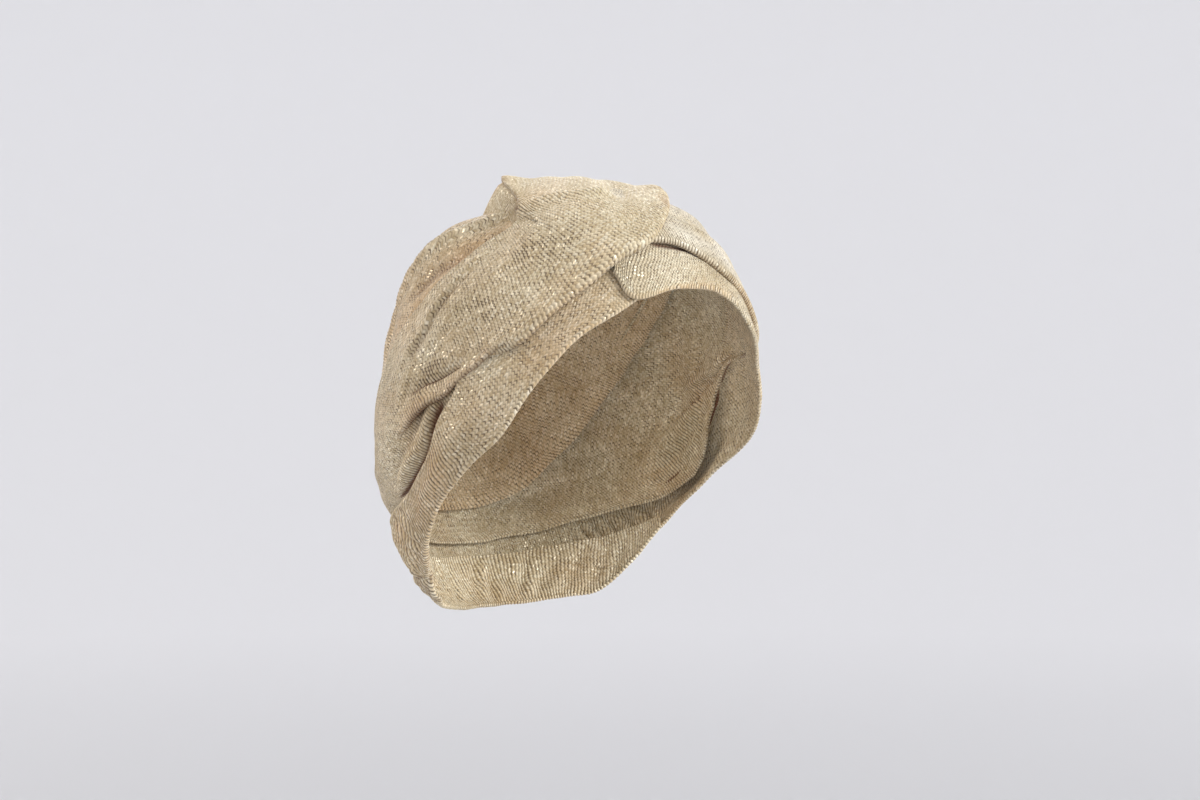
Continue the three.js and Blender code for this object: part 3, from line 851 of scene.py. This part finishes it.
NAPE_FOLD = [
    (-105, -33.2, -106, -31, 2.2, 2.4, 2.2),
    (-126, -51, -128, -36, 4.6, 4.4, 2.2),
    (-151, -54, -151, -38, 3.0, 3.4, 1.8),
    (180, -54.5, 180, -38.5, 2.4, 3.0, 1.6),
    (151, -54.5, 151, -38, 4.0, 4.4, 2.0),
    (127, -51.0, 129, -36, 5.8, 7.6, 4.6),
    (112, -37, 113, -34.5, 2.2, 2.4, 2.2),
]
nape_fold, flat = lay_cloth(
    "nape_fold_cloth", NAPE_FOLD, RIGHT, columns=36, from_nape=False, seed=53,
    lips=[(0, 1.0, 80, 0, 0.9, 60, 0), (6, 1.0, 80, 0, 0.9, 60, 0)],
    # gathers with painted shade in their troughs; below, two creases darkened with painted shade
    gathers=[dict(rows=(0.2, 3.8), length=13.0, rise=0.6, slant=0.5, shade=0.3),
             dict(rows=(1.8, 5.8), length=8.3, rise=0.5, slant=0.3, shade=0.35),
             dict(rows=(4.4, 6.0), length=7.5, rise=0.7, slant=0.9, shade=0.55)],
    patches=[dict(kind="raise", at=(5.7, 0.5), size=(3, 8), amount=1.2),
             dict(kind="raise", at=(5.45, 0.45), size=(2.2, 8), amount=-1.3),
             dict(kind="painted_shade", at=(5.45, 0.45), size=(1.8, 7), amount=0.8),
             dict(kind="raise", at=(5.2, 0.35), size=(3, 8), amount=1.4),
             dict(kind="raise", at=(5.0, 0.25), size=(2.2, 7), amount=-1.2),
             dict(kind="painted_shade", at=(5.0, 0.25), size=(1.6, 6), amount=0.8)])
dress(nape_fold, "nape_fold")

# ---------------------------------------------------------------------------------------------
# The studio. A sheet of pale matt paper lies as the floor and sweeps up into a wall all round. Five
# soft lights hang in it, and the camera stands 41 degrees round to the wearer's right.

FLOOR = -0.75                            # m, all sizes of the studio
FLAT_FLOOR = 2.4
SWEEP_RADIUS = 1.2
WALL = 3.6
WALL_TOP = 3.6
DARKER_BELOW = 0.35                      # the height at which the paper reaches its lighter tone
sweep = bmesh.new()
flat_part = [(0.0, 0.0), (FLAT_FLOOR / 2, 0.0), (FLAT_FLOOR, 0.0)]
curve = [(FLAT_FLOOR + SWEEP_RADIUS * math.sin(a), SWEEP_RADIUS - SWEEP_RADIUS * math.cos(a))
         for a in np.linspace(0.1, math.pi / 2, 14)]
upright = [(WALL, 2.4), (WALL, WALL_TOP)]
profile = [sweep.verts.new((x, 0, FLOOR + z)) for x, z in flat_part + curve + upright]
lines = [sweep.edges.new(pair) for pair in zip(profile, profile[1:])]
bmesh.ops.spin(sweep, geom=profile + lines, cent=(0, 0, 0), axis=(0, 0, 1), angle=math.tau, steps=96,
               use_merge=True)
bmesh.ops.remove_doubles(sweep, verts=sweep.verts, dist=0.0001)
bmesh.ops.recalc_face_normals(sweep, faces=sweep.faces)
for face in sweep.faces:
    face.smooth = True
floor_mesh = bpy.data.meshes.new("studio_floor")
sweep.to_mesh(floor_mesh)
sweep.free()
floor = bpy.data.objects.new("studio_floor", floor_mesh)
bpy.context.scene.collection.objects.link(floor)

# uncoated backdrop paper has no gloss, so the eye sees one soft tone with no edge in it. The floor is
# a shade darker than the wall, because more of the light falls on it
paper = bpy.data.materials.new("matt_backdrop_paper")
paper.use_nodes = True
paper_skin = paper.node_tree.nodes["Principled BSDF"]
paper_skin.inputs["Roughness"].default_value = 0.95
paper_place = add_node(paper, "ShaderNodeTexCoord")
paper_height = add_node(paper, "ShaderNodeSeparateXYZ", {"Vector": paper_place.outputs["Object"]})
paper_rise = add_node(paper, "ShaderNodeMapRange", {
    "Value": paper_height.outputs["Z"], "From Min": FLOOR, "From Max": FLOOR + DARKER_BELOW})
paper_tone = add_node(paper, "ShaderNodeValToRGB", {"Fac": paper_rise.outputs[0]})
paper_tone.color_ramp.elements[0].color = shade("#D2D3D6")
paper_tone.color_ramp.elements[1].color = shade("#EEEFF3")
paper.node_tree.links.new(paper_tone.outputs[0], paper_skin.inputs["Base Color"])
floor_mesh.materials.append(paper)

VIEW_TURN, VIEW_RISE = -41, 1            # degrees round from the wearer's front, and up
VIEW_DISTANCE = 1.376                    # m
AIM_RIGHT, AIM_UP = 0.0115, 0.0133       # m from the head's centre to the spot the camera aims at
away = Vector(toward(VIEW_TURN, VIEW_RISE, 1))
view_right = Vector(toward(VIEW_TURN + 90, 0, 1))
aim = view_right * AIM_RIGHT + Vector((0, 0, AIM_UP))
lens = bpy.data.cameras.new("camera")
lens.lens, lens.sensor_width = 90, 36
camera = bpy.data.objects.new("camera", lens)
bpy.context.scene.collection.objects.link(camera)
camera.location = aim + away * VIEW_DISTANCE
camera.rotation_euler = (-away).to_track_quat("-Z", "Y").to_euler()
bpy.context.scene.camera = camera


def softbox(name, stands_at, size, power, colour):
    """A square soft light turned to the head's centre, its size in metres and its power in watts."""
    light = bpy.data.lights.new(name, "AREA")
    light.shape = "SQUARE"
    light.size = size
    light.energy = power
    light.color = shade(colour)[:3]
    box = bpy.data.objects.new(name, light)
    bpy.context.scene.collection.objects.link(box)
    box.location = stands_at
    box.rotation_euler = (-stands_at).to_track_quat("-Z", "Y").to_euler()


softbox("key_softbox", away * 1.25 + view_right * 1.95 + Vector((0, 0, 1.15)), 1.1, 47, "#F9FAF8")
softbox("right_softbox", away * 0.3 + view_right * 2.2 + Vector((0, 0, 0.5)), 1.2, 23, "#FCFCFB")
softbox("side_softbox", away * -0.2 - view_right * 2.1 + Vector((0, 0, 1.6)), 1.4, 33, "#FFF1DF")
softbox("overhead_softbox", Vector((0.1, 0.1, 2.2)), 1.2, 6, "#FFFFFF")
softbox("back_softbox", -away * 1.8 + Vector((0, 0, 1.3)), 1.4, 14, "#FFFFFF")
world = bpy.data.worlds.new("studio_air")
world.use_nodes = True
world.node_tree.nodes["Background"].inputs["Color"].default_value = shade("#E9E9EC")
world.node_tree.nodes["Background"].inputs["Strength"].default_value = 0.5
bpy.context.scene.world = world
bpy.context.scene.view_settings.view_transform = "Standard"
